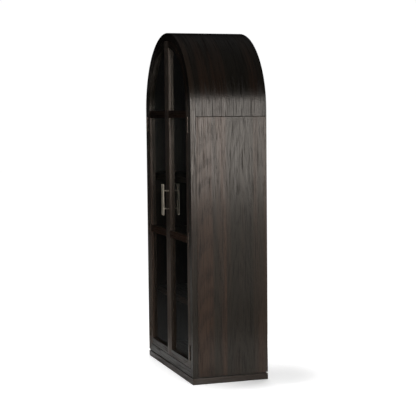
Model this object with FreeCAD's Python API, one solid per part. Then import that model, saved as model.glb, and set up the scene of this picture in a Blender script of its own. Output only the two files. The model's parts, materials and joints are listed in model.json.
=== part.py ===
import FreeCAD, Part
import os

# China cabinet with a half-round top and a pair of glazed, inset doors.
# Millimetres, +Z up. The front faces -Y and +X is the right-hand side.
# The origin is on the floor, below the middle of the whole object, handles included.

# ---- overall case ----
CASE_W = 1090.0
CASE_D = 543.0
CASE_H = 2400.0
PANEL_T = 25.0
ARCH_R = CASE_W / 2
SPRING_Z = CASE_H - ARCH_R
SHELL_FOOT_Z = 1811.0
SEAM_W = 2.6
SEAM_DEPTH = 3.0
FRAME_SEAM_W = 1.4
FRAME_SEAM_DEPTH = 2.0

# ---- plinth and shadow groove ----
PLINTH_H = 43.0
PLINTH_T = 22.0
GROOVE_H = 8.0
GROOVE_DEPTH = 8.0
CASE_Z = PLINTH_H + GROOVE_H

# ---- front frame ----
FRAME_W = 50.0
FRAME_T = 38.0
FLOOR_Z = CASE_Z + FRAME_W

# ---- doors ----
DOOR_GAP = 3.0
DOOR_T = FRAME_T
OUTER_STILE_W = 49.0
MEETING_STILE_W = 47.0
MEETING_BEVEL = 1.5
RAIL_H = 50.0
MID_RAIL_Z = 958.0
UPPER_RAIL_Z = SPRING_Z - RAIL_H
GLASS_SETBACK = 19.0
GLASS_T = 4.0
GLASS_BITE = 7.0
REBATE_W = 8.0
BEAD_SETBACK = 1.0

# ---- bar handles ----
BAR_R = 4.8
BAR_Z0 = 1115.0
BAR_Z1 = 1336.0
BAR_STANDOFF = 36.7
BAR_END_ROUND = 1.2
BAR_INSET = 17.5
POST_R = 3.5
POST_FOOT_R = 5.5
POST_FOOT_T = 2.0
POST_CENTRES = 128.0
POST_THREAD_DEPTH = 12.0
HANDLE_SCREW_R = 2.0
HANDLE_SCREW_HEAD_R = 4.0
HANDLE_SCREW_HEAD_T = 2.4

# ---- butt hinges ----
HINGE_HEIGHTS = (163.0, 933.0, 1708.0)
HINGE_H = 102.0
KNUCKLES = 5
KNUCKLE_R = 4.5
KNUCKLE_PLAY = 0.3
PIN_R = 2.5
PIN_CLEARANCE = 0.05
PIN_TIP_R = 3.6
PIN_TIP_H = 2.0
LEAF_W = 27.0
LEAF_CLEARANCE = 0.4
AXIS_PROUD = 5.0
HINGE_SCREW_SPACING = 26.0
HINGE_SCREW_ROWS = (-1.5, -0.5, 0.5, 1.5)
HINGE_SCREW_INSET = 15.0
HINGE_SCREW_LENGTH = 17.0

# ---- shelves ----
SHELF_T = 40.0
MIDDLE_SHELF_TOP = 990.0
UPPER_SHELF_TOP = 1840.0
LOWER_ADJUSTABLE_TOP = 540.0
UPPER_ADJUSTABLE_TOP = 1392.0
SHELF_SETBACK = 58.0
SHELF_SIDE_PLAY = 1.5
SHELF_REAR_PLAY = 2.0
SHELF_HOLE_PITCH = 32.0
SHELF_HOLE_ROWS = (-2, -1, 0, 1, 2)
SHELF_HOLE_DEPTH = 10.0
SHELF_PIN_R = 2.5
SHELF_PIN_TAB = 12.0
SHELF_PIN_INSET = 50.0
DOWEL_R = 4.0
DOWEL_IN_PANEL = 14.0
DOWEL_IN_SHELF = 26.0
DOWEL_SHARES = (0.15, 0.5, 0.85)

# ---- back ----
BACK_T = 9.0
BACK_RECESS = 1.0
BACK_LIP = 13.0
BACK_FOOT_PLAY = 2.0
BACK_SCREW_LENGTH = 28.0
BACK_SCREW_Z0 = 160.0
BACK_SCREW_PITCH = 316.0
BACK_SCREW_ROWS = 6
BACK_SCREW_TURN = 15
BACK_SCREW_X = (-360.0, -120.0, 120.0, 360.0)
WALL_RAIL_T = 18.0
WALL_RAIL_H = 60.0
WALL_RAIL_HALF_W = 505.0
WALL_HOLE_R = 3.0
WALL_HOLE_X = 300.0

# ---- small fittings ----
SCREW_HEAD_R = 3.0
SCREW_HEAD_DEPTH = 1.2
SCREW_R = 1.5
RECESS_LENGTH = 3.0
RECESS_W = 0.7
RECESS_DEPTH = 0.8
STOP_T = 15.0
STOP_H = 14.0
STOP_HALF_W = 400.0
CLOSED_PLAY = 0.5
CATCH_X0 = 6.0
CATCH_X1 = 38.0
CATCH_H = 12.0
CATCH_D = 30.0
STRIKE_T = 1.5
STRIKE_MARGIN = 2.0
BEARER_W = 60.0
BEARER_X = (-300.0, 0.0, 300.0)

# ---- places worked out from the sizes above ----
HANDLE_REACH = BAR_STANDOFF + BAR_R
FRONT_Y = HANDLE_REACH - (CASE_D + HANDLE_REACH) / 2
BACK_Y = FRONT_Y + CASE_D
FRAME_BACK_Y = FRONT_Y + FRAME_T
INNER_BACK_Y = BACK_Y - BACK_RECESS - BACK_T
INNER_X = CASE_W / 2 - PANEL_T
FRAME_INNER_X = CASE_W / 2 - FRAME_W
FRAME_INNER_R = ARCH_R - FRAME_W
DOOR_X0 = DOOR_GAP / 2
DOOR_X1 = FRAME_INNER_X - DOOR_GAP
DOOR_Z0 = FLOOR_Z + DOOR_GAP
SIGHT_X0 = DOOR_X0 + MEETING_STILE_W
SIGHT_X1 = DOOR_X1 - OUTER_STILE_W
BOTTOM_RAIL_TOP = DOOR_Z0 + RAIL_H
MID_RAIL_TOP = MID_RAIL_Z + RAIL_H
GLASS_Y0 = FRONT_Y + GLASS_SETBACK
GLASS_Y1 = GLASS_Y0 + GLASS_T
BEAD_Y1 = FRAME_BACK_Y - BEAD_SETBACK
HINGE_X = FRAME_INNER_X - DOOR_GAP / 2
HINGE_Y = FRONT_Y - AXIS_PROUD
HANDLE_X = DOOR_X0 + BAR_INSET
HANDLE_Y = FRONT_Y - BAR_STANDOFF
SHELF_Y0 = FRONT_Y + SHELF_SETBACK
ADJUSTABLE_Y1 = INNER_BACK_Y - SHELF_REAR_PLAY
SHELF_PIN_Y = (SHELF_Y0 + SHELF_PIN_INSET, ADJUSTABLE_Y1 - SHELF_PIN_INSET)
WALL_HOLE_Z = UPPER_SHELF_TOP + WALL_RAIL_H / 2

OVERSIZE = 100.0
ALONG_X = FreeCAD.Vector(1, 0, 0)
ALONG_Y = FreeCAD.Vector(0, 1, 0)
ALONG_Z = FreeCAD.Vector(0, 0, 1)
TOWARD_FRONT = FreeCAD.Vector(0, -1, 0)


def point(x, y, z):
    return FreeCAD.Vector(x, y, z)


def block(x0, x1, y0, y1, z0, z1):
    """A box between two corners, whichever way round they are given."""
    low = point(min(x0, x1), min(y0, y1), min(z0, z1))
    return Part.makeBox(abs(x1 - x0), abs(y1 - y0), abs(z1 - z0), low)


def rod(radius, start, direction, length):
    return Part.makeCylinder(radius, length, start, direction)


def mirrored(shape):
    """The left-hand copy of a right-hand shape."""
    return shape.mirror(point(0, 0, 0), ALONG_X)


def both_sides(shapes):
    """Right-hand solids and their left-hand copies, as one group."""
    return Part.makeCompound(shapes + [mirrored(shape) for shape in shapes])


def arched_plate(radius, z_low, y0, y1):
    """A plate with straight sides and a half-round top about the springing line."""
    foot_left = point(-radius, y0, z_low)
    foot_right = point(radius, y0, z_low)
    shoulder_left = point(-radius, y0, SPRING_Z)
    shoulder_right = point(radius, y0, SPRING_Z)
    crown = point(0, y0, SPRING_Z + radius)
    outline = [
        Part.makeLine(foot_left, foot_right),
        Part.makeLine(foot_right, shoulder_right),
        Part.Arc(shoulder_right, crown, shoulder_left).toShape(),
        Part.makeLine(shoulder_left, foot_left),
    ]
    return Part.Face(Part.Wire(outline)).extrude(point(0, y1 - y0, 0))


def arched_band(r_inner, r_outer, z_low, y0, y1):
    """A bent board between two radii, from one foot over the crown to the other."""
    outer = arched_plate(r_outer, z_low - OVERSIZE, y0, y1)
    inner = arched_plate(r_inner, z_low - 2 * OVERSIZE, y0 - 1, y1 + 1)
    above = block(-r_outer, r_outer, y0, y1, z_low, CASE_H)
    return outer.cut(inner).common(above)


def countersunk_screw(head, direction, length):
    """A wood screw whose flat head is centred on a point, driven along a direction."""
    cone = Part.makeCone(SCREW_HEAD_R, SCREW_R, SCREW_HEAD_DEPTH, head, direction)
    return cone.fuse(rod(SCREW_R, head, direction, length))


def cross_recess(head, direction):
    """The cross-shaped hole for a screwdriver, sunk into a screw's head."""
    half = RECESS_LENGTH / 2
    slot = block(-half, half, -RECESS_W / 2, RECESS_W / 2, -RECESS_DEPTH, RECESS_DEPTH)
    cross = slot.fuse(block(-RECESS_W / 2, RECESS_W / 2, -half, half, -RECESS_DEPTH, RECESS_DEPTH))
    cross.Placement = FreeCAD.Placement(head, FreeCAD.Rotation(ALONG_Z, direction))
    return cross


def with_recesses(screws, heads, direction):
    """The finished screws: the plain ones, which also shape their holes, with driver recesses."""
    return [screw.cut(cross_recess(head, direction)) for screw, head in zip(screws, heads)]


# ---------------------------------------------------------------- plinth and floor

def plinth_front():
    return block(-CASE_W / 2, CASE_W / 2, FRONT_Y, FRONT_Y + PLINTH_T, 0, PLINTH_H)


def plinth_back():
    half = CASE_W / 2 - PLINTH_T
    return block(-half, half, BACK_Y - PLINTH_T, BACK_Y, 0, PLINTH_H)


def plinth_sides():
    inner = CASE_W / 2 - PLINTH_T
    side = block(inner, CASE_W / 2, FRONT_Y + PLINTH_T, BACK_Y, 0, PLINTH_H)
    return both_sides([side])


def base_deck():
    """The set-back board whose edge is seen as the shadow groove."""
    half = CASE_W / 2 - GROOVE_DEPTH
    return block(-half, half, FRONT_Y + GROOVE_DEPTH, BACK_Y - GROOVE_DEPTH, PLINTH_H, CASE_Z)


def bottom_bearers():
    bearers = []
    for x in BEARER_X:
        left = x - BEARER_W / 2
        bearers.append(block(left, left + BEARER_W, FRAME_BACK_Y, INNER_BACK_Y, CASE_Z, FLOOR_Z - PANEL_T))
    return Part.makeCompound(bearers)


def bottom_panel(cutters):
    panel = block(-INNER_X, INNER_X, FRAME_BACK_Y, INNER_BACK_Y, FLOOR_Z - PANEL_T, FLOOR_Z)
    return panel.cut(cutters)


def door_stop_strip():
    y0 = FRAME_BACK_Y + CLOSED_PLAY
    return block(-STOP_HALF_W, STOP_HALF_W, y0, y0 + STOP_T, FLOOR_Z, FLOOR_Z + STOP_H)


# ---------------------------------------------------------------- case

def shelf_pin_heights():
    """Heights of the stems of the shelf pins, for each adjustable shelf."""
    tops = (LOWER_ADJUSTABLE_TOP, UPPER_ADJUSTABLE_TOP)
    return [top - SHELF_T - SHELF_PIN_R for top in tops]


def shelf_pin_holes():
    """Right-hand rows of blind holes, evenly pitched about each adjustable shelf."""
    holes = []
    for middle in shelf_pin_heights():
        for row in SHELF_HOLE_ROWS:
            for y in SHELF_PIN_Y:
                mouth = point(INNER_X, y, middle + row * SHELF_HOLE_PITCH)
                holes.append(rod(SHELF_PIN_R, mouth, ALONG_X, SHELF_HOLE_DEPTH))
    return holes


def seam_groove():
    """The fine groove where the bent top stands on a side panel."""
    low = SHELL_FOOT_Z - SEAM_W / 2
    outer = CASE_W / 2
    return block(outer - SEAM_DEPTH, outer + 1, FRAME_BACK_Y, BACK_Y + 1, low, low + SEAM_W)


def frame_seam():
    """The fine groove around the case where the sides and the bent top meet the front frame."""
    inner_r = ARCH_R - FRAME_SEAM_DEPTH
    return arched_band(inner_r, ARCH_R + 1, CASE_Z - 1, FRAME_BACK_Y - 1, FRAME_BACK_Y + FRAME_SEAM_W)


def back_rebate():
    half = CASE_W / 2 - BACK_LIP
    return arched_plate(half, 0, BACK_Y - BACK_RECESS - BACK_T, BACK_Y + 1)


def side_panel(cutters):
    """The right-hand side."""
    panel = block(INNER_X, CASE_W / 2, FRAME_BACK_Y, BACK_Y, CASE_Z, SHELL_FOOT_Z)
    grooves = [seam_groove(), frame_seam()]
    return panel.cut(back_rebate()).cut(grooves).cut(shelf_pin_holes()).cut(cutters)


def top_shell(cutters):
    """The bent top: a half-round arch with short straight legs."""
    shell = arched_band(ARCH_R - PANEL_T, ARCH_R, SHELL_FOOT_Z, FRAME_BACK_Y, BACK_Y)
    grooves = [seam_groove(), mirrored(seam_groove()), frame_seam()]
    return shell.cut(back_rebate()).cut(grooves).cut(cutters)


def frame_stile(cutters):
    """The right-hand upright of the front frame."""
    stile = block(FRAME_INNER_X, CASE_W / 2, FRONT_Y, FRAME_BACK_Y, CASE_Z, SPRING_Z)
    return stile.cut(cutters)


def frame_arch():
    return arched_band(FRAME_INNER_R, ARCH_R, SPRING_Z, FRONT_Y, FRAME_BACK_Y)


def frame_bottom_rail():
    return block(-FRAME_INNER_X, FRAME_INNER_X, FRONT_Y, FRAME_BACK_Y, CASE_Z, FLOOR_Z)


# ---------------------------------------------------------------- back

def back_screw_heads():
    """Around the sides and the bent top, and in rows at the shelves and the bottom panel."""
    y = BACK_Y - BACK_RECESS
    edge = (INNER_X + CASE_W / 2 - BACK_LIP) / 2
    spots = []
    for row in range(BACK_SCREW_ROWS):
        z = BACK_SCREW_Z0 + row * BACK_SCREW_PITCH
        spots += [(edge, z), (-edge, z)]
    for degrees in range(BACK_SCREW_TURN, 180, BACK_SCREW_TURN):
        turn = FreeCAD.Rotation(ALONG_Y, -degrees)
        spoke = turn.multVec(point(edge, 0, 0))
        spots.append((spoke.x, SPRING_Z + spoke.z))
    board_middles = [FLOOR_Z - PANEL_T / 2]
    board_middles += [top - SHELF_T / 2 for top in (MIDDLE_SHELF_TOP, UPPER_SHELF_TOP)]
    for z in board_middles:
        spots += [(x, z) for x in BACK_SCREW_X]
    return [point(x, y, z) for x, z in spots]


def back_screws():
    return [countersunk_screw(head, TOWARD_FRONT, BACK_SCREW_LENGTH) for head in back_screw_heads()]


def wall_fixing_holes():
    """Two through holes, from the inside of the cabinet to the wall."""
    length = WALL_RAIL_T + BACK_T + 2
    y0 = INNER_BACK_Y - WALL_RAIL_T - 1
    return [rod(WALL_HOLE_R, point(x, y0, WALL_HOLE_Z), ALONG_Y, length)
            for x in (-WALL_HOLE_X, WALL_HOLE_X)]


def back_panel(cutters):
    half = CASE_W / 2 - BACK_LIP
    panel = arched_plate(half, CASE_Z + BACK_FOOT_PLAY, INNER_BACK_Y, BACK_Y - BACK_RECESS)
    return panel.cut(cutters).cut(wall_fixing_holes())


def wall_fixing_rail():
    z1 = UPPER_SHELF_TOP + WALL_RAIL_H
    y0 = INNER_BACK_Y - WALL_RAIL_T
    rail = block(-WALL_RAIL_HALF_W, WALL_RAIL_HALF_W, y0, INNER_BACK_Y, UPPER_SHELF_TOP, z1)
    return rail.cut(wall_fixing_holes())


# ---------------------------------------------------------------- shelves

def fixed_shelf(top, cutters):
    shelf = block(-INNER_X, INNER_X, SHELF_Y0, INNER_BACK_Y, top - SHELF_T, top)
    return shelf.cut(cutters)


def adjustable_shelf(top):
    half = INNER_X - SHELF_SIDE_PLAY
    return block(-half, half, SHELF_Y0, ADJUSTABLE_Y1, top - SHELF_T, top)


def dowels():
    """Right-hand dowels that join the fixed shelves and the bottom panel to the side."""
    rows = [FLOOR_Z - PANEL_T / 2, MIDDLE_SHELF_TOP - SHELF_T / 2]
    rows.append(UPPER_SHELF_TOP - SHELF_T / 2)
    pegs = []
    for z in rows:
        for share in DOWEL_SHARES:
            y = SHELF_Y0 + share * (INNER_BACK_Y - SHELF_Y0)
            start = point(INNER_X - DOWEL_IN_SHELF, y, z)
            pegs.append(rod(DOWEL_R, start, ALONG_X, DOWEL_IN_SHELF + DOWEL_IN_PANEL))
    return pegs


def shelf_pins():
    """Right-hand spoon pins: a stem in the side and a flat tab under the shelf."""
    pins = []
    tab_x = INNER_X - SHELF_PIN_TAB
    half = SHELF_PIN_TAB / 2
    for z in shelf_pin_heights():
        for y in SHELF_PIN_Y:
            tab = block(tab_x, INNER_X, y - half, y + half, z - SHELF_PIN_R, z + SHELF_PIN_R)
            stem = rod(SHELF_PIN_R, point(INNER_X - 1, y, z), ALONG_X, SHELF_HOLE_DEPTH)
            pins.append(tab.fuse(stem))
    return pins


def magnetic_catches():
    """Right-hand catch bodies under the front edges of the fixed shelves."""
    catches = []
    y0 = FRAME_BACK_Y + STRIKE_T + CLOSED_PLAY
    for top in (MIDDLE_SHELF_TOP, UPPER_SHELF_TOP):
        z1 = top - SHELF_T
        catches.append(block(CATCH_X0, CATCH_X1, y0, y0 + CATCH_D, z1 - CATCH_H, z1))
    return catches


# ---------------------------------------------------------------- hinges, right-hand

def hinge_bore(z_low, radius):
    start = point(HINGE_X, HINGE_Y, z_low - 1)
    return rod(radius, start, ALONG_Z, HINGE_H + 2)


def hinge_leaf(z_low, side, first_knuckle, bore_r):
    """One leaf with its share of the knuckles. Side is 1 on the frame and -1 on the door."""
    x0 = HINGE_X + side * LEAF_CLEARANCE / 2
    x1 = HINGE_X + side * DOOR_GAP / 2
    clear_y = HINGE_Y + KNUCKLE_R + KNUCKLE_PLAY
    leaf = block(x0, x1, clear_y, FRONT_Y + LEAF_W, z_low, z_low + HINGE_H)
    pitch = HINGE_H / KNUCKLES
    for index in range(first_knuckle, KNUCKLES, 2):
        z0 = z_low + index * pitch + KNUCKLE_PLAY / 2
        height = pitch - KNUCKLE_PLAY
        barrel = rod(KNUCKLE_R, point(HINGE_X, HINGE_Y, z0), ALONG_Z, height)
        tongue = block(x0, x1, HINGE_Y, clear_y + 1, z0, z0 + height)
        leaf = leaf.fuse([barrel, tongue])
    return leaf.cut(hinge_bore(z_low, bore_r))


def hinge_pin(z_low):
    """A pin with a small button at each end, tight in the frame leaf's knuckles."""
    start = point(HINGE_X, HINGE_Y, z_low - KNUCKLE_PLAY / 2)
    pin = rod(PIN_R, start, ALONG_Z, HINGE_H + KNUCKLE_PLAY)
    below = rod(PIN_TIP_R, point(HINGE_X, HINGE_Y, z_low - PIN_TIP_H), ALONG_Z, PIN_TIP_H)
    above = rod(PIN_TIP_R, point(HINGE_X, HINGE_Y, z_low + HINGE_H), ALONG_Z, PIN_TIP_H)
    return pin.fuse([below, above])


def hinge_screw_heads(side):
    """Where the screws of one side's leaves have their heads."""
    x = HINGE_X + side * LEAF_CLEARANCE / 2
    y = FRONT_Y + HINGE_SCREW_INSET
    middles = [z_low + HINGE_H / 2 for z_low in HINGE_HEIGHTS]
    return [point(x, y, z + row * HINGE_SCREW_SPACING) for z in middles for row in HINGE_SCREW_ROWS]


def hinge_screws(side):
    """Plain screws through every leaf of one side, into the frame or into the door."""
    into_wood = point(side, 0, 0)
    return [countersunk_screw(head, into_wood, HINGE_SCREW_LENGTH) for head in hinge_screw_heads(side)]


def finished_hinge_screws(side):
    return with_recesses(hinge_screws(side), hinge_screw_heads(side), point(side, 0, 0))


def hinge_leaves(side, first_knuckle, bore_r, screws):
    return [hinge_leaf(z_low, side, first_knuckle, bore_r).cut(screws) for z_low in HINGE_HEIGHTS]


# ---------------------------------------------------------------- right-hand door

def straight_pane(z0, z1, grow, y0, y1):
    """A rectangular pane's sight size, grown outwards all round."""
    return block(SIGHT_X0 - grow, SIGHT_X1 + grow, y0, y1, z0 - grow, z1 + grow)


def arched_pane(grow, y0, y1):
    """The quarter-round pane's sight size, grown outwards all round."""
    radius = SIGHT_X1 + grow
    plate = arched_plate(radius, SPRING_Z - OVERSIZE, y0, y1)
    return plate.common(block(SIGHT_X0 - grow, radius, y0, y1, SPRING_Z - grow, CASE_H))


def pane(level, grow, y0, y1):
    if level == "lower":
        return straight_pane(BOTTOM_RAIL_TOP, MID_RAIL_Z, grow, y0, y1)
    if level == "middle":
        return straight_pane(MID_RAIL_TOP, UPPER_RAIL_Z, grow, y0, y1)
    return arched_pane(grow, y0, y1)


LEVELS = ("lower", "middle", "upper")


def glazing_rebates():
    return [pane(level, REBATE_W, GLASS_Y0, FRAME_BACK_Y + 1) for level in LEVELS]


def door_outer_stile(screws):
    stile = block(SIGHT_X1, DOOR_X1, FRONT_Y, FRAME_BACK_Y, DOOR_Z0, SPRING_Z)
    return stile.cut(glazing_rebates()).cut(screws)


def door_arch_rail():
    arch = arched_band(SIGHT_X1, DOOR_X1, SPRING_Z, FRONT_Y, FRAME_BACK_Y)
    right = block(SIGHT_X0, DOOR_X1, FRONT_Y, FRAME_BACK_Y, SPRING_Z, CASE_H)
    return arch.common(right).cut(glazing_rebates())


def door_meeting_stile(screw_holes):
    """The upright in the middle, its meeting edge bevelled so that both doors swing past."""
    section = [
        point(DOOR_X0, FRONT_Y, DOOR_Z0),
        point(SIGHT_X0, FRONT_Y, DOOR_Z0),
        point(SIGHT_X0, FRAME_BACK_Y, DOOR_Z0),
        point(DOOR_X0 + MEETING_BEVEL, FRAME_BACK_Y, DOOR_Z0),
        point(DOOR_X0, FRONT_Y, DOOR_Z0),
    ]
    upright = Part.Face(Part.makePolygon(section)).extrude(point(0, 0, CASE_H - DOOR_Z0))
    under_arch = arched_plate(DOOR_X1, 0, FRONT_Y, FRAME_BACK_Y)
    return upright.common(under_arch).cut(glazing_rebates()).cut(screw_holes)


def door_rail(z0):
    rail = block(SIGHT_X0, SIGHT_X1, FRONT_Y, FRAME_BACK_Y, z0, z0 + RAIL_H)
    return rail.cut(glazing_rebates())


def glass_pane(level):
    return pane(level, GLASS_BITE, GLASS_Y0, GLASS_Y1)


def beads():
    """Wooden beads behind the glass: two upright and two level strips, or one bent strip."""
    strips = []
    for level in LEVELS:
        ring = pane(level, REBATE_W, GLASS_Y1, BEAD_Y1).cut(pane(level, 0, GLASS_Y1 - 1, BEAD_Y1 + 1))
        box = ring.BoundBox
        near = block(box.XMin, SIGHT_X0, GLASS_Y1, BEAD_Y1, box.ZMin, box.ZMax)
        strips.append(ring.common(near))
        ring = ring.cut(near)
        z_sight = box.ZMin + REBATE_W
        foot = block(SIGHT_X0, box.XMax, GLASS_Y1, BEAD_Y1, box.ZMin, z_sight)
        strips.append(ring.common(foot))
        ring = ring.cut(foot)
        if level == "upper":
            strips.append(ring)
            continue
        head = block(SIGHT_X0, box.XMax, GLASS_Y1, BEAD_Y1, box.ZMax - REBATE_W, box.ZMax)
        strips.append(ring.common(head))
        strips.append(ring.cut(head))
    return Part.makeCompound([solid for strip in strips for solid in strip.Solids])


def handle_bar():
    length = BAR_Z1 - BAR_Z0
    bar = rod(BAR_R, point(HANDLE_X, HANDLE_Y, BAR_Z0), ALONG_Z, length)
    rims = [edge for edge in bar.Edges if edge.Curve.TypeId == "Part::GeomCircle"]
    return bar.makeFillet(BAR_END_ROUND, rims)


def post_heights():
    middle = (BAR_Z0 + BAR_Z1) / 2
    return (middle - POST_CENTRES / 2, middle + POST_CENTRES / 2)


def handle_screw(z):
    """A machine screw from the back of the stile into the post."""
    seat = point(HANDLE_X, FRAME_BACK_Y, z)
    shank = rod(HANDLE_SCREW_R, seat, TOWARD_FRONT, DOOR_T + POST_THREAD_DEPTH)
    head = rod(HANDLE_SCREW_HEAD_R, seat, ALONG_Y, HANDLE_SCREW_HEAD_T)
    return shank.fuse(head)


def handle_post(z):
    stem = rod(POST_R, point(HANDLE_X, FRONT_Y, z), TOWARD_FRONT, BAR_STANDOFF)
    foot = rod(POST_FOOT_R, point(HANDLE_X, FRONT_Y, z), TOWARD_FRONT, POST_FOOT_T)
    bar = rod(BAR_R, point(HANDLE_X, HANDLE_Y, BAR_Z0), ALONG_Z, BAR_Z1 - BAR_Z0)
    return stem.fuse(foot).cut([bar, handle_screw(z)])


def strike_plates():
    """Steel plates on the back of the meeting stile, facing the catches."""
    plates = []
    x0 = CATCH_X0 + STRIKE_MARGIN
    x1 = CATCH_X1 - STRIKE_MARGIN
    for top in (MIDDLE_SHELF_TOP, UPPER_SHELF_TOP):
        z1 = top - SHELF_T
        plates.append(block(x0, x1, FRAME_BACK_Y, FRAME_BACK_Y + STRIKE_T, z1 - CATCH_H, z1))
    return plates


def right_door():
    """Every piece of the right-hand door, by its plain name."""
    screws = hinge_screws(-1)
    handle_screws = [handle_screw(z) for z in post_heights()]
    handle_screw_y = FRAME_BACK_Y + HANDLE_SCREW_HEAD_T
    handle_screw_heads = [point(HANDLE_X, handle_screw_y, z) for z in post_heights()]
    leaves = hinge_leaves(-1, 1, PIN_R + PIN_CLEARANCE, screws)
    return {
        "outer_stile": door_outer_stile(screws),
        "arch_rail": door_arch_rail(),
        "meeting_stile": door_meeting_stile(handle_screws),
        "bottom_rail": door_rail(DOOR_Z0),
        "lower_mid_rail": door_rail(MID_RAIL_Z),
        "upper_mid_rail": door_rail(UPPER_RAIL_Z),
        "lower_glass": glass_pane("lower"),
        "middle_glass": glass_pane("middle"),
        "upper_glass": glass_pane("upper"),
        "glass_beads": beads(),
        "handle_bar": handle_bar(),
        "handle_posts": Part.makeCompound([handle_post(z) for z in post_heights()]),
        "handle_screws": Part.makeCompound(with_recesses(handle_screws, handle_screw_heads, ALONG_Y)),
        "hinge_leaves": Part.makeCompound(leaves),
        "hinge_screws": Part.makeCompound(finished_hinge_screws(-1)),
        "strike_plates": Part.makeCompound(strike_plates()),
    }


# ---------------------------------------------------------------- the whole cabinet

def case_pieces():
    screws = back_screws()
    pegs = dowels()
    all_pegs = pegs + [mirrored(peg) for peg in pegs]
    cutters = screws + all_pegs
    frame_screws = hinge_screws(1)
    right_side = side_panel(cutters)
    right_stile = frame_stile(frame_screws)
    return {
        "plinth_front": plinth_front(),
        "plinth_back": plinth_back(),
        "plinth_sides": plinth_sides(),
        "base_deck": base_deck(),
        "bottom_bearers": bottom_bearers(),
        "bottom_panel": bottom_panel(cutters),
        "side_panel_right": right_side,
        "side_panel_left": mirrored(right_side),
        "top_shell": top_shell(cutters),
        "back_panel": back_panel(screws),
        "back_panel_screws": Part.makeCompound(with_recesses(screws, back_screw_heads(), TOWARD_FRONT)),
        "wall_fixing_rail": wall_fixing_rail(),
        "frame_stile_right": right_stile,
        "frame_stile_left": mirrored(right_stile),
        "frame_bottom_rail": frame_bottom_rail(),
        "frame_arch": frame_arch(),
        "middle_fixed_shelf": fixed_shelf(MIDDLE_SHELF_TOP, cutters),
        "upper_fixed_shelf": fixed_shelf(UPPER_SHELF_TOP, cutters),
        "shelf_dowels": Part.makeCompound(all_pegs),
        "shelf_pins": both_sides(shelf_pins()),
        "door_stop_strip": door_stop_strip(),
        "magnetic_catches": both_sides(magnetic_catches()),
        "hinge_frame_leaves": both_sides(hinge_leaves(1, 0, PIN_R, frame_screws)),
        "hinge_pins": both_sides([hinge_pin(z_low) for z_low in HINGE_HEIGHTS]),
        "hinge_frame_screws": both_sides(finished_hinge_screws(1)),
        "lower_adjustable_shelf": adjustable_shelf(LOWER_ADJUSTABLE_TOP),
        "upper_adjustable_shelf": adjustable_shelf(UPPER_ADJUSTABLE_TOP),
    }


def all_pieces():
    pieces = case_pieces()
    for name, shape in right_door().items():
        pieces["right_door_" + name] = shape
        pieces["left_door_" + name] = mirrored(shape)
    return pieces


def main():
    os.makedirs("parts", exist_ok=True)
    for name, shape in all_pieces().items():
        shape.exportStep("parts/" + name + ".step")
        print(name, "solids", len(shape.Solids), "valid", shape.isValid(), "mm3", round(shape.Volume))


main()
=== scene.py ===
import bpy
import json
import math
from mathutils import Matrix, Vector

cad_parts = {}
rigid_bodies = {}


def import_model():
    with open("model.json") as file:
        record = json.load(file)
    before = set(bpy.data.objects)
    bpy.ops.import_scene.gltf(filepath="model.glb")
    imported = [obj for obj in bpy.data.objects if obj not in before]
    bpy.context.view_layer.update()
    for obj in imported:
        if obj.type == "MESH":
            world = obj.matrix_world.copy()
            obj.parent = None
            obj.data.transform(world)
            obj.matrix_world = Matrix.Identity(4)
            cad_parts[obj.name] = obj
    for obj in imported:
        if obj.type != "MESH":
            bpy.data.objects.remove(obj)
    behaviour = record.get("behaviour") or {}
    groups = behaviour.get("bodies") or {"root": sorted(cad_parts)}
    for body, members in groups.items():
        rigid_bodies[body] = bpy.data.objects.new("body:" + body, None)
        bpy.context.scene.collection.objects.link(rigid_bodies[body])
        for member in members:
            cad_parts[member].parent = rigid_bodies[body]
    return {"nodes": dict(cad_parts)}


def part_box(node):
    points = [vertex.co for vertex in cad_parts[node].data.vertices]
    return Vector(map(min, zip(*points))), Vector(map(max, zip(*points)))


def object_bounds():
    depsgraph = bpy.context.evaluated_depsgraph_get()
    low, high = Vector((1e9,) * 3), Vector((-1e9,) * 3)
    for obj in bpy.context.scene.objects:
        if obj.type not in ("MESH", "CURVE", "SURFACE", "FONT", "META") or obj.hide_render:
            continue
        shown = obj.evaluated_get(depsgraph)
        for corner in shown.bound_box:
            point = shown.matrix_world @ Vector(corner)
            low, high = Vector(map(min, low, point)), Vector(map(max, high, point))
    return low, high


# Looks, light and camera for an arched china cabinet in dark stained oak.
# Metres, +Z up. The doors face -Y and +X is the cabinet's right-hand side.

for leftover in list(bpy.data.objects):
    bpy.data.objects.remove(leftover)
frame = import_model()
CAD_LOW, CAD_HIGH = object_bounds()
NODES = frame["nodes"]

# ---- places, read from the frame ----
ARCH_R = CAD_HIGH.x
SPRING_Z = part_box("frame_arch")[0].z

# ---- arrises ----
ARRIS = 0.0012
FINE_ARRIS = 0.0006
SHARP_ANGLE = 0.6
SHORTEST_ARRIS = 0.004
MERGE_DISTANCE = 0.00001
FLAT_ANGLE = 0.004

# ---- oak boards ----
STAVE_W = 0.098
WHOLE = 4.0  # wider than any piece, for a piece sawn from one board
RING_W = 0.0042
PITH_SPREAD = 0.26
PITH_LEAN = 0.05
PITH_DEPTH = 0.05
PITH_DEPTH_RANGE = 0.09
EARLY_RISE = (0.0, 0.12)
EARLY_FALL = (0.62, 0.3)

# ---- oak figure: noise cells per metre across, through and along the board, then detail and roughness ----
SWAY = ((6.0, 6.0, 1.6), 3.0, 0.5)
FIBRE = ((240.0, 240.0, 2.2), 5.0, 0.62)
STREAK = ((60.0, 60.0, 0.8), 3.0, 0.55)
LINES = ((165.0, 165.0, 5.0), 2.0, 0.5)
TONE = ((11.0, 11.0, 0.35), 2.0, 0.5)
SPECKS = ((900.0, 900.0, 26.0), 1.0, 0.5)
SWAY_REACH = (0.010, 0.010, 0.0)
LINE_EDGE = (0.54, 0.66)
PORE_EDGE = (0.57, 0.66)
LATE_PORES = 0.3
WARM_EDGE = (0.50, 0.80)
WARM_BY_STAVE = 0.30

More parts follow.
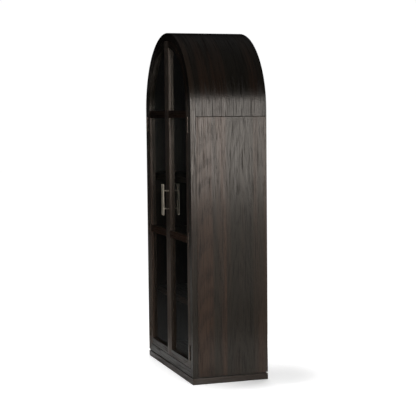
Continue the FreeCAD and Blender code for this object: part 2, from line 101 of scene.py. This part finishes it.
# ---- oak: what each part of the figure adds to the stain's lightness, its roughness and its relief ----
LIGHTNESS = {"base": -0.42, "fibre": 1.15, "streak": 1.10, "stave": 0.22, "early": -0.18, "lines": -0.45}
ROUGHNESS = {"base": -0.05, "fibre": 0.62, "streak": 0.24, "pores": 0.40, "lines": 0.34, "early": 0.04}
RELIEF = {"base": 0.0, "fibre": 0.55, "pores": -1.0, "early": -0.12}
RELIEF_DEPTH = 0.0001

# ---- oak: stain, painted shade and sheen ----
OAK_DARK = (0.0022, 0.0014, 0.0011, 1)
OAK_BROWN = (0.0270, 0.0142, 0.0086, 1)
OAK_GREY = (0.0100, 0.0082, 0.0056, 1)
PORE_COLOUR = (0.0015, 0.0010, 0.0008, 1)
# Painted shade: these factors darken the base colour of the top shell and the front arch, so that they look
# less lit than the other oak.
PAINTED_SHADE_BY_PIECE = {"top_shell": 0.35, "frame_arch": 0.6}
CASE_SHEEN = (1.0, 0.93, 0.86, 1)
DOOR_SHEEN = (1.0, 0.86, 0.75, 1)
OAK_IOR = 1.5
ANISOTROPY = 0.95
QUARTER_TURN = 0.25

# ---- metal: colour, darker clouds, roughness, scratch cells per metre, scratch depth ----
METALS = {
    "zinc_plated_steel": ((0.62, 0.62, 0.60, 1), (0.50, 0.50, 0.49, 1), 0.30, (500, 500, 500), 0.00003),
    "oil_rubbed_bronze": ((0.095, 0.075, 0.060, 1), (0.040, 0.032, 0.027, 1), 0.34, (300, 300, 900), 0.00004),
    "champagne_brass": ((0.36, 0.32, 0.26, 1), (0.29, 0.26, 0.21, 1), 0.34, (2500, 2500, 60), 0.00003),
}
CLOUD_CELLS = (35.0, 35.0, 35.0)
CLOUD_EDGE = (0.35, 0.7)
SCRATCH_ROUGHNESS = 0.16
CLOUD_ROUGHNESS = 0.08

# ---- bare wood, plastic and glass ----
SOFTWOOD_DARK = (0.42, 0.27, 0.13, 1)
SOFTWOOD_PALE = (0.72, 0.55, 0.34, 1)
SOFTWOOD_CELLS = (4.0, 160.0, 160.0)
SOFTWOOD_RELIEF = 0.0002
PLASTIC_DARK = (0.010, 0.009, 0.008, 1)
PLASTIC_PALE = (0.022, 0.020, 0.018, 1)
PLASTIC_CELLS = (1400.0, 1400.0, 1400.0)
PLASTIC_RELIEF = 0.0001
GLASS_GREEN = (0.86, 0.90, 0.88, 1)
GLASS_CLEAR = (0.93, 0.95, 0.94, 1)
GLASS_SHADOW = (0.86, 0.9, 0.88, 1)
GLASS_CELLS = (9.0, 9.0, 5.0)
GLASS_RELIEF = 0.0002
GLASS_RELIEF_STRENGTH = 0.3
GLASS_IOR = 1.3

# ---- camera ----
CAMERA_PLACE = (8.0128, -2.6343, 1.8176)
CAMERA_AZIMUTH = math.radians(71.48)
CAMERA_PITCH = math.radians(4.485)
CAMERA_ROLL = math.radians(-0.562)
LENS_MM = 101.8
SENSOR_MM = 36.0

# ---- floor: pale near the cabinet, dark far away, glowing enough to look white, and with a painted shadow behind the cabinet's right back corner ----
WHITE = (1, 1, 1, 1)
FLOOR_HALF = 30.0
FLOOR_PALE = (0.8, 0.8, 0.8, 1)
FLOOR_DARK = (0.03, 0.03, 0.03, 1)
FLOOR_ROUGHNESS = 0.8
FLOOR_GLOSS = 0.1
PALE_CENTRE = (0.6, 0.0, 0.0)
PALE_EDGE = (1.1, 2.2)
GLOW_CENTRE = (0.0, 0.0, 0.0)
GLOW_EDGE = (0.6, 1.05)
GLOW_NEAR = 0.53
GLOW_GAIN = 0.50
# Painted shadow: a soft round patch behind the cabinet's right back corner where the floor's glow is dimmed.
PAINTED_SHADOW_CENTRE = (0.50, 0.42, 0.0)
PAINTED_SHADOW_EDGE = (0.05, 0.85)
PAINTED_SHADOW_LEAST = 0.12

# ---- room light: dim below and brighter above ----
ROOM_LOW = 0.008
ROOM_GAIN = 0.11
ROOM_EDGE = (0.4, 0.9)

# ---- soft boxes ----
SOFT_BOXES = {
    "key": dict(place=(3.6, -0.15, 2.0), aim=(0.5, -0.15, 2.0), width=2.4, height=1.78, watts=152),
    "key_low": dict(place=(3.6, 0.0, 0.55), aim=(0.5, 0.0, 0.55), width=2.6, height=1.1, watts=11),
    "front_low": dict(
        place=(0.3, -2.8, 0.3), aim=(0.0, -0.2, 0.15), width=2.2, height=0.5, watts=7,
        spread=110.0, mirrored=False,
    ),
    "front_floor": dict(
        place=(-0.3, -1.5, 2.2), aim=(-0.3, -1.5, 0.0), width=1.6, height=1.0, watts=20,
        spread=60.0, mirrored=False,
    ),
    "left": dict(place=(-3.4, 1.2, 1.7), aim=(-0.5, 0.1, 1.3), width=2.0, height=2.2, watts=90),
    "back_left": dict(place=(-2.6, 3.4, 1.7), aim=(0.0, 0.3, 1.3), width=2.6, height=2.4, watts=130),
}


# ---------------------------------------------------------------- node trees

class Tree:
    """Short calls for adding nodes to a tree and joining them."""

    def __init__(self, tree):
        self.tree = tree

    def put(self, socket, value):
        if isinstance(value, bpy.types.NodeSocket):
            self.tree.links.new(value, socket)
        elif value is not None:
            socket.default_value = value

    def add(self, kind, inputs=None, **settings):
        node = self.tree.nodes.new(kind)
        for name, value in settings.items():
            setattr(node, name, value)
        for name, value in (inputs or {}).items():
            self.put(node.inputs[name], value)
        return node

    def math(self, operation, a, b=None, c=None, clamp=False):
        node = self.add("ShaderNodeMath", operation=operation, use_clamp=clamp)
        for socket, value in zip(node.inputs, (a, b, c)):
            self.put(socket, value)
        return node.outputs[0]

    def vector(self, operation, a, b=None):
        node = self.add("ShaderNodeVectorMath", operation=operation)
        self.put(node.inputs[0], a)
        self.put(node.inputs[1], b)
        return node.outputs[0]

    def distance(self, a, b):
        return self.vector("DISTANCE", a, b).node.outputs["Value"]

    def length(self, a, b):
        return self.math("SQRT", self.math("MULTIPLY_ADD", a, a, self.math("MULTIPLY", b, b)))

    def split(self, vector):
        return self.add("ShaderNodeSeparateXYZ", {"Vector": vector}).outputs

    def join(self, x, y, z):
        return self.add("ShaderNodeCombineXYZ", {"X": x, "Y": y, "Z": z}).outputs[0]

    def noise(self, vector, cells, detail=2.0, roughness=0.5):
        """Noise with so many cells per metre along each axis."""
        place = self.vector("MULTIPLY", vector, cells)
        sockets = {"Vector": place, "Scale": 1.0, "Detail": detail, "Roughness": roughness}
        return self.add("ShaderNodeTexNoise", sockets).outputs

    def ramp(self, value, low, high):
        """0 at or below low and 1 at or above high, with soft ends."""
        sockets = {"Value": value, "From Min": low, "From Max": high}
        return self.add("ShaderNodeMapRange", sockets, interpolation_type="SMOOTHSTEP").outputs[0]

    def blend(self, share, a, b):
        node = self.add("ShaderNodeMix", data_type="RGBA")
        for index, value in ((0, share), (6, a), (7, b)):
            self.put(node.inputs[index], value)
        return node.outputs[2]

    def weigh(self, values, weights):
        """The base weight plus each named value times its own weight."""
        total = weights["base"]
        for name, weight in weights.items():
            if name != "base":
                total = self.math("MULTIPLY_ADD", values[name], weight, total)
        return total

    def seen_directly(self):
        """1 for what the camera sees, in the open or straight through glass, and 0 for other light."""
        path = self.add("ShaderNodeLightPath").outputs
        bounces = self.math("ADD", path["Diffuse Depth"], path["Glossy Depth"])
        through = self.math("SUBTRACT", path["Is Transmission Ray"], bounces, clamp=True)
        return self.math("MAXIMUM", path["Is Camera Ray"], through)


def new_group(name, inputs, outputs):
    """An empty node group with the named sockets, its input node and its output node."""
    group = bpy.data.node_groups.new(name, "ShaderNodeTree")
    for label, kind in inputs:
        group.interface.new_socket(label, in_out="INPUT", socket_type=kind)
    for label, kind in outputs:
        group.interface.new_socket(label, in_out="OUTPUT", socket_type=kind)
    tree = Tree(group)
    return tree, tree.add("NodeGroupInput"), tree.add("NodeGroupOutput")


def new_material(name):
    """An empty material's tree and its Principled shader, with the material itself."""
    material = bpy.data.materials.new(name)
    material.use_nodes = True
    tree = Tree(material.node_tree)
    return material, tree, material.node_tree.nodes["Principled BSDF"]


def add_bump(tree, shader, height, distance, strength=1.0):
    sockets = {"Height": height, "Distance": distance, "Strength": strength}
    tree.put(shader.inputs["Normal"], tree.add("ShaderNodeBump", sockets).outputs[0])


# ---------------------------------------------------------------- stained oak

def arch_place_group():
    """Where a point of a bent board is: across its depth, from the arch's centre, and along the bend."""
    tree, given, found = new_group(
        "along_the_arch",
        [("Point", "NodeSocketVector")],
        [("Across", "NodeSocketFloat"), ("Radius", "NodeSocketFloat"), ("Along", "NodeSocketFloat"),
         ("Grain", "NodeSocketVector")],
    )
    x, y, z = tree.split(given.outputs["Point"])
    above = tree.math("SUBTRACT", z, SPRING_Z)
    rise = tree.math("MAXIMUM", above, 0.0)
    fall = tree.math("MULTIPLY", tree.math("MINIMUM", above, 0.0), tree.math("SIGN", x))
    turn = tree.math("ARCTAN2", rise, x)
    tree.put(found.inputs["Across"], y)
    tree.put(found.inputs["Radius"], tree.length(x, rise))
    tree.put(found.inputs["Grain"], tree.join(tree.math("MULTIPLY", rise, -1.0), 0.0, x))
    tree.put(found.inputs["Along"], tree.math("MULTIPLY_ADD", turn, ARCH_R, fall))
    return tree.tree


def swayed(tree, place):
    """The place, pushed about so that the grain isn't quite straight."""
    push = tree.vector("SUBTRACT", tree.noise(place, *SWAY)["Color"], (0.5, 0.5, 0.5))
    return tree.vector("ADD", place, tree.vector("MULTIPLY", push, SWAY_REACH))


def stave_at(tree, place, width):
    """The middle of the glued board's stave at a place, and three random numbers of its own."""
    stave = tree.math("FLOOR", tree.math("DIVIDE", tree.split(place)[0], width))
    middle = tree.math("MULTIPLY", tree.math("ADD", stave, 0.5), width)
    dice = tree.add("ShaderNodeTexWhiteNoise", {"W": stave}, noise_dimensions="1D").outputs["Color"]
    return middle, tree.split(dice)


def early_wood(tree, bent, middle, dice):
    """1 in the porous early wood of each ring and 0 in its late wood. Each stave has its own pith."""
    x, y, z = tree.split(bent)
    off_centre = tree.math("MULTIPLY_ADD", dice[0], PITH_SPREAD, -PITH_SPREAD / 2)
    pith_x = tree.math("ADD", tree.math("SUBTRACT", x, middle), off_centre)
    lean = tree.math("MULTIPLY_ADD", dice[1], PITH_LEAN, -PITH_LEAN / 2)
    depth = tree.math("MULTIPLY_ADD", dice[2], PITH_DEPTH_RANGE, PITH_DEPTH)
    pith_y = tree.math("ADD", tree.math("MULTIPLY_ADD", z, lean, y), depth)
    ring = tree.math("FRACT", tree.math("DIVIDE", tree.length(pith_x, pith_y), RING_W))
    return tree.math("MULTIPLY", tree.ramp(ring, *EARLY_RISE), tree.ramp(ring, *EARLY_FALL))


def oak_group():
    """Stained oak: X across the board, Y through it and Z along the grain."""
    tree, given, found = new_group(
        "stained_oak",
        [("Place", "NodeSocketVector"), ("Stave Width", "NodeSocketFloat")],
        [("Color", "NodeSocketColor"), ("Roughness", "NodeSocketFloat"), ("Height", "NodeSocketFloat")],
    )
    place = given.outputs["Place"]
    bent = swayed(tree, place)
    middle, dice = stave_at(tree, place, given.outputs["Stave Width"])
    early = early_wood(tree, bent, middle, dice)
    specks = tree.ramp(tree.noise(bent, *SPECKS)[0], *PORE_EDGE)
    pores = tree.math("MULTIPLY", specks, tree.math("MULTIPLY_ADD", early, 1 - LATE_PORES, LATE_PORES))
    figure = {
        "stave": dice[0],
        "early": early,
        "pores": pores,
        "fibre": tree.noise(place, *FIBRE)[0],
        "streak": tree.noise(bent, *STREAK)[0],
        "lines": tree.ramp(tree.noise(bent, *LINES)[0], *LINE_EDGE),
    }
    tone = tree.noise(place, *TONE)[0]
    warm = tree.ramp(tree.math("MULTIPLY_ADD", dice[1], WARM_BY_STAVE, tone), *WARM_EDGE)
    stain = tree.blend(warm, OAK_GREY, OAK_BROWN)
    colour = tree.blend(tree.weigh(figure, LIGHTNESS), OAK_DARK, stain)
    tree.put(found.inputs["Color"], tree.blend(pores, colour, PORE_COLOUR))
    tree.put(found.inputs["Roughness"], tree.weigh(figure, ROUGHNESS))
    tree.put(found.inputs["Height"], tree.weigh(figure, RELIEF))
    return tree.tree


OAK = oak_group()
ALONG_ARCH = arch_place_group()
# Which of a piece's axes run across the board, through it and along its grain.
GRAIN_AXES = {"side": "yxz", "front": "xyz", "level": "yzx", "level_front": "zyx", "deep": "xzy"}
ALONG = {"x": (1.0, 0.0, 0.0), "y": (0.0, 1.0, 0.0), "z": (0.0, 0.0, 1.0)}


def board_place(tree, grain):
    """A point's place across, through and along a board, and the way its grain runs."""
    point = tree.add("ShaderNodeTexCoord").outputs["Object"]
    if grain in ("shell", "hoop"):
        bend = tree.add("ShaderNodeGroup", {"Point": point}, node_tree=ALONG_ARCH).outputs
        across, through = ("Across", "Radius") if grain == "shell" else ("Radius", "Across")
        return tree.join(bend[across], bend[through], bend["Along"]), bend["Grain"]
    axes = dict(zip("xyz", tree.split(point)))
    place = tree.join(*(axes[letter] for letter in GRAIN_AXES[grain]))
    return place, ALONG[GRAIN_AXES[grain][2]]


def oak(name, grain, number, stave_w, shade, sheen):
    """Dark stained oak for one piece. The number picks the piece's own part of the tree."""
    material, tree, shader = new_material(name)
    place, lie = board_place(tree, grain)
    own_part = (0.37 * number + 0.031, 0.083 * (number % 7), 1.713 * number)
    place = tree.vector("ADD", place, own_part)
    wood = tree.add("ShaderNodeGroup", {"Place": place, "Stave Width": stave_w}, node_tree=OAK).outputs
    # The shade factor darkens the base colour: painted shade on the top shell and front arch.
    colour = tree.vector("SCALE", wood["Color"])
    colour.node.inputs["Scale"].default_value = shade
    tree.put(shader.inputs["Base Color"], colour)
    tree.put(shader.inputs["Roughness"], wood["Roughness"])
    shader.inputs["IOR"].default_value = OAK_IOR
    shader.inputs["Specular Tint"].default_value = sheen
    shader.inputs["Anisotropic"].default_value = ANISOTROPY
    shader.inputs["Anisotropic Rotation"].default_value = QUARTER_TURN
    turned = tree.add("ShaderNodeVectorTransform", {"Vector": lie}, vector_type="VECTOR")
    turned.convert_from, turned.convert_to = "OBJECT", "WORLD"
    tree.put(shader.inputs["Tangent"], turned.outputs[0])
    add_bump(tree, shader, wood["Height"], RELIEF_DEPTH)
    return material


# ---------------------------------------------------------------- other materials

def bare_wood():
    """Unstained softwood of the pieces that nobody sees."""
    material, tree, shader = new_material("bare_softwood")
    point = tree.add("ShaderNodeTexCoord").outputs["Object"]
    bands = tree.noise(point, SOFTWOOD_CELLS, 4.0)[0]
    tree.put(shader.inputs["Base Color"], tree.blend(bands, SOFTWOOD_DARK, SOFTWOOD_PALE))
    tree.put(shader.inputs["Roughness"], tree.math("MULTIPLY_ADD", bands, 0.2, 0.5))
    add_bump(tree, shader, bands, SOFTWOOD_RELIEF)
    return material


def brushed_metal(name, colour, darker, rough, scratch_cells, depth):
    """Metal with fine parallel scratches and a faint cloudiness."""
    material, tree, shader = new_material(name)
    point = tree.add("ShaderNodeTexCoord").outputs["Object"]
    scratches = tree.noise(point, scratch_cells, 3.0)[0]
    cloud = tree.noise(point, CLOUD_CELLS, 3.0)[0]
    shader.inputs["Metallic"].default_value = 1.0
    tree.put(shader.inputs["Base Color"], tree.blend(tree.ramp(cloud, *CLOUD_EDGE), darker, colour))
    worn = tree.math("MULTIPLY_ADD", scratches, SCRATCH_ROUGHNESS, rough - SCRATCH_ROUGHNESS / 2)
    tree.put(shader.inputs["Roughness"], tree.math("MULTIPLY_ADD", cloud, CLOUD_ROUGHNESS, worn))
    add_bump(tree, shader, scratches, depth)
    return material


def dark_plastic():
    """Black moulded plastic with a fine grain."""
    material, tree, shader = new_material("moulded_plastic")
    point = tree.add("ShaderNodeTexCoord").outputs["Object"]
    grain = tree.noise(point, PLASTIC_CELLS)[0]
    tree.put(shader.inputs["Base Color"], tree.blend(grain, PLASTIC_DARK, PLASTIC_PALE))
    tree.put(shader.inputs["Roughness"], tree.math("MULTIPLY_ADD", grain, 0.2, 0.35))
    add_bump(tree, shader, grain, PLASTIC_RELIEF)
    return material


def clear_glass():
    """Float glass with a faint waviness. Lamps shine straight through it."""
    material, tree, shader = new_material("clear_float_glass")
    point = tree.add("ShaderNodeTexCoord").outputs["Object"]
    smear = tree.noise(point, GLASS_CELLS, 3.0)[0]
    tree.put(shader.inputs["Base Color"], tree.blend(smear, GLASS_GREEN, GLASS_CLEAR))
    add_bump(tree, shader, smear, GLASS_RELIEF, GLASS_RELIEF_STRENGTH)
    shader.inputs["Roughness"].default_value = 0.0
    shader.inputs["Transmission Weight"].default_value = 1.0
    shader.inputs["IOR"].default_value = GLASS_IOR
    rays = tree.add("ShaderNodeLightPath").outputs["Is Shadow Ray"]
    pass_through = tree.add("ShaderNodeBsdfTransparent", {"Color": GLASS_SHADOW})
    mixed = tree.add("ShaderNodeMixShader", {"Fac": rays})
    tree.put(mixed.inputs[1], shader.outputs[0])
    tree.put(mixed.inputs[2], pass_through.outputs[0])
    tree.put(tree.tree.nodes["Material Output"].inputs["Surface"], mixed.outputs[0])
    return material


# ---------------------------------------------------------------- arrises

def arris_weights():
    """Marks a mesh's long sharp edges for the bevel and keeps its other sharp edges sharp."""
    group = bpy.data.node_groups.new("arris_weights", "GeometryNodeTree")
    group.interface.new_socket("Geometry", in_out="INPUT", socket_type="NodeSocketGeometry")
    group.interface.new_socket("Geometry", in_out="OUTPUT", socket_type="NodeSocketGeometry")
    tree = Tree(group)
    given = tree.add("NodeGroupInput")
    found = tree.add("NodeGroupOutput")
    angle = tree.add("GeometryNodeInputMeshEdgeAngle").outputs["Unsigned Angle"]
    ends = tree.add("GeometryNodeInputMeshEdgeVertices").outputs
    span = tree.distance(ends["Position 1"], ends["Position 2"])
    sharp = tree.math("GREATER_THAN", angle, SHARP_ANGLE)
    long = tree.math("GREATER_THAN", span, SHORTEST_ARRIS)
    eased = tree.math("MULTIPLY", sharp, long)
    kept = tree.math("SUBTRACT", sharp, eased)
    geometry = given.outputs[0]
    for name, kind, value in (("bevel_weight_edge", "FLOAT", eased), ("sharp_edge", "BOOLEAN", kept)):
        store = tree.add("GeometryNodeStoreNamedAttribute", data_type=kind, domain="EDGE")
        tree.put(store.inputs["Geometry"], geometry)
        store.inputs["Name"].default_value = name
        tree.put(store.inputs["Value"], value)
        geometry = store.outputs["Geometry"]
    tree.put(found.inputs[0], geometry)
    return group


ARRIS_WEIGHTS = arris_weights()


def ease(piece, width):
    """Rounds a wooden piece's long edges, as sandpaper does."""
    weld = piece.modifiers.new("join_faces", "WELD")
    weld.merge_threshold = MERGE_DISTANCE
    flat = piece.modifiers.new("merge_flats", "DECIMATE")
    flat.decimate_type = "DISSOLVE"
    flat.angle_limit = FLAT_ANGLE
    marks = piece.modifiers.new("mark_arrises", "NODES")
    marks.node_group = ARRIS_WEIGHTS
    bevel = piece.modifiers.new("arrises", "BEVEL")
    bevel.limit_method = "WEIGHT"
    bevel.width = width
    bevel.segments = 2
    bevel.use_clamp_overlap = False
    shading = piece.modifiers.new("shading", "WEIGHTED_NORMAL")
    shading.keep_sharp = True


# ---------------------------------------------------------------- which piece gets what

def dress(name, material):
    mesh = NODES[name].data
    mesh.materials.clear()
    mesh.materials.append(material)


# Each wooden piece's grain and the width of its staves.
CASE_WOOD = {
    "side_panel_right": ("side", STAVE_W),
    "side_panel_left": ("side", STAVE_W),
    "top_shell": ("shell", STAVE_W),
    "frame_stile_right": ("front", WHOLE),
    "frame_stile_left": ("front", WHOLE),
    "frame_bottom_rail": ("level_front", WHOLE),
    "frame_arch": ("hoop", WHOLE),
    "plinth_front": ("level_front", WHOLE),
    "plinth_back": ("level_front", WHOLE),
    "plinth_sides": ("deep", WHOLE),
    "base_deck": ("level", WHOLE),
    "back_panel": ("front", STAVE_W),
    "wall_fixing_rail": ("level_front", WHOLE),
    "door_stop_strip": ("level_front", WHOLE),
    "bottom_panel": ("level", STAVE_W),
    "middle_fixed_shelf": ("level", STAVE_W),
    "upper_fixed_shelf": ("level", STAVE_W),
    "lower_adjustable_shelf": ("level", STAVE_W),
    "upper_adjustable_shelf": ("level", STAVE_W),
}
DOOR_WOOD = {
    "outer_stile": ("front", WHOLE),
    "meeting_stile": ("front", WHOLE),
    "arch_rail": ("hoop", WHOLE),
    "bottom_rail": ("level_front", WHOLE),
    "lower_mid_rail": ("level_front", WHOLE),
    "upper_mid_rail": ("level_front", WHOLE),
    "glass_beads": ("front", WHOLE),
}
DOORS = ("right_door_", "left_door_")


def dress_wood():
    wooden = dict(CASE_WOOD)
    for door in DOORS:
        wooden.update({door + name: look for name, look in DOOR_WOOD.items()})
    for number, (name, (grain, stave_w)) in enumerate(sorted(wooden.items())):
        sheen = DOOR_SHEEN if name.startswith(DOORS) else CASE_SHEEN
        # The top shell and front arch get painted shade through the darker base colour.
        dress(name, oak("oak_" + name, grain, number, stave_w, PAINTED_SHADE_BY_PIECE.get(name, 1.0), sheen))
        ease(NODES[name], FINE_ARRIS if name.endswith("glass_beads") else ARRIS)
    softwood = bare_wood()
    for name in ("bottom_bearers", "shelf_dowels"):
        dress(name, softwood)


def dress_fittings():
    steel, bronze, brass = (brushed_metal(name, *finish) for name, finish in METALS.items())
    glass = clear_glass()
    for name in ("back_panel_screws", "shelf_pins"):
        dress(name, steel)
    for name in ("hinge_frame_leaves", "hinge_pins", "hinge_frame_screws"):
        dress(name, bronze)
    dress("magnetic_catches", dark_plastic())
    for door in DOORS:
        for name in ("lower_glass", "middle_glass", "upper_glass"):
            dress(door + name, glass)
        for name in ("handle_bar", "handle_posts"):
            dress(door + name, brass)
        for name in ("hinge_leaves", "hinge_screws"):
            dress(door + name, bronze)
        for name in ("handle_screws", "strike_plates"):
            dress(door + name, steel)


# ---------------------------------------------------------------- studio

def make_floor():
    """A pale floor that fades into the white background away from the cabinet, with a painted shadow behind
    its right back corner.
    """
    mesh = bpy.data.meshes.new("studio_floor")
    h = FLOOR_HALF
    mesh.from_pydata([(-h, -h, 0), (h, -h, 0), (h, h, 0), (-h, h, 0)], [], [(0, 1, 2, 3)])
    floor = bpy.data.objects.new("studio_floor", mesh)
    bpy.context.scene.collection.objects.link(floor)
    material, tree, shader = new_material("pale_floor")
    shader.inputs["Roughness"].default_value = FLOOR_ROUGHNESS
    shader.inputs["Specular IOR Level"].default_value = FLOOR_GLOSS
    point = tree.add("ShaderNodeTexCoord").outputs["Object"]
    seen = tree.seen_directly()
    mirrored = tree.add("ShaderNodeLightPath").outputs["Is Singular Ray"]
    away = tree.ramp(tree.distance(point, PALE_CENTRE), *PALE_EDGE)
    dark = tree.math("MAXIMUM", away, tree.math("SUBTRACT", mirrored, seen, clamp=True))
    tree.put(shader.inputs["Base Color"], tree.blend(dark, FLOOR_PALE, FLOOR_DARK))
    far = tree.ramp(tree.distance(point, GLOW_CENTRE), *GLOW_EDGE)
    glow = tree.math("MULTIPLY_ADD", far, GLOW_GAIN, GLOW_NEAR)
    # Painted shadow: the glow is dimmed around a spot behind the cabinet's right back corner.
    clear = tree.ramp(tree.distance(point, PAINTED_SHADOW_CENTRE), *PAINTED_SHADOW_EDGE)
    glow = tree.math("MULTIPLY", glow, tree.math("MULTIPLY_ADD", clear, 1 - PAINTED_SHADOW_LEAST, PAINTED_SHADOW_LEAST))
    shader.inputs["Emission Color"].default_value = WHITE
    tree.put(shader.inputs["Emission Strength"], tree.math("MULTIPLY", glow, seen))
    mesh.materials.append(material)
    return floor


def make_world():
    """White behind the cabinet, and a dim even room light on it."""
    world = bpy.data.worlds.new("studio")
    bpy.context.scene.world = world
    world.use_nodes = True
    tree = Tree(world.node_tree)
    rise = tree.split(tree.add("ShaderNodeTexCoord").outputs["Generated"])[2]
    dim = tree.math("MULTIPLY_ADD", tree.ramp(rise, *ROOM_EDGE), ROOM_GAIN, ROOM_LOW)
    background = world.node_tree.nodes["Background"]
    background.inputs["Color"].default_value = WHITE
    tree.put(background.inputs["Strength"], tree.math("ADD", tree.seen_directly(), dim))


def opaque_things(floor):
    """Everything but the glass, for lamps that the panes shouldn't mirror."""
    group = bpy.data.collections.new("opaque_pieces")
    for name, node in NODES.items():
        if not name.endswith("_glass"):
            group.objects.link(node)
    group.objects.link(floor)
    return group


def soft_box(name, place, aim, width, height, watts, spread=180.0):
    light = bpy.data.lights.new(name, "AREA")
    light.shape = "RECTANGLE"
    light.size = width
    light.size_y = height
    light.energy = watts
    light.spread = math.radians(spread)
    lamp = bpy.data.objects.new(name, light)
    bpy.context.scene.collection.objects.link(lamp)
    lamp.location = place
    lamp.rotation_mode = "QUATERNION"
    lamp.rotation_quaternion = (Vector(aim) - Vector(place)).to_track_quat("-Z", "Y")
    lamp.visible_camera = False
    lamp.visible_transmission = False
    return lamp


def make_lights(opaque):
    for name, box in SOFT_BOXES.items():
        settings = dict(box)
        mirrored = settings.pop("mirrored", True)
        lamp = soft_box(name, **settings)
        if not mirrored:
            lamp.light_linking.receiver_collection = opaque


def make_camera():
    camera = bpy.data.objects.new("camera", bpy.data.cameras.new("camera"))
    bpy.context.scene.collection.objects.link(camera)
    camera.data.lens = LENS_MM
    camera.data.sensor_width = SENSOR_MM
    turn, tilt = CAMERA_AZIMUTH, CAMERA_PITCH
    back = Vector((math.sin(turn) * math.cos(tilt), -math.cos(turn) * math.cos(tilt), math.sin(tilt)))
    right = Vector((math.cos(turn), math.sin(turn), 0))
    up = back.cross(right)
    rolled_right = right * math.cos(CAMERA_ROLL) + up * math.sin(CAMERA_ROLL)
    rolled_up = back.cross(rolled_right)
    facing = Matrix((rolled_right, rolled_up, back)).transposed().to_4x4()
    camera.matrix_world = Matrix.Translation(CAMERA_PLACE) @ facing
    bpy.context.scene.camera = camera


dress_wood()
dress_fittings()
floor = make_floor()
make_world()
make_lights(opaque_things(floor))
make_camera()
bpy.context.scene.view_settings.view_transform = "Standard"
